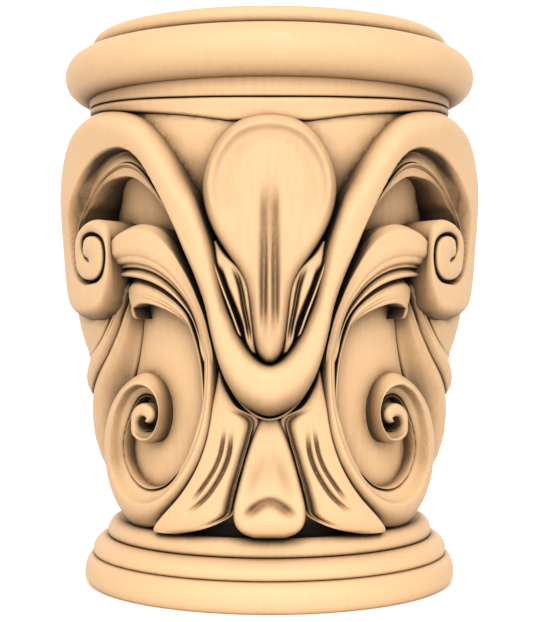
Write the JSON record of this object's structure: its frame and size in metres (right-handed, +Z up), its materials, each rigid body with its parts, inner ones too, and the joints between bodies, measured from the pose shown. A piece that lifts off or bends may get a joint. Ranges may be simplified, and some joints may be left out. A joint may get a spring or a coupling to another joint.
{
  "type": "carved column capital",
  "caption": "Round carved wooden column capital: three stacked foot beads, a bell of scrolls, arches and leaves in high relief, a fat torus and a cap.",
  "frame": {"origin": "centre of the flat underside", "axes": "+Z up along the column's axis, -Y the front, with a spoon-shaped leaf in its middle"},
  "size_m": [0.2308, 0.2298, 0.3],
  "materials": {
    "limewood": "matt"
  },
  "bodies": {
    "root": {"capital": "limewood"}
  },
  "joints": []
}
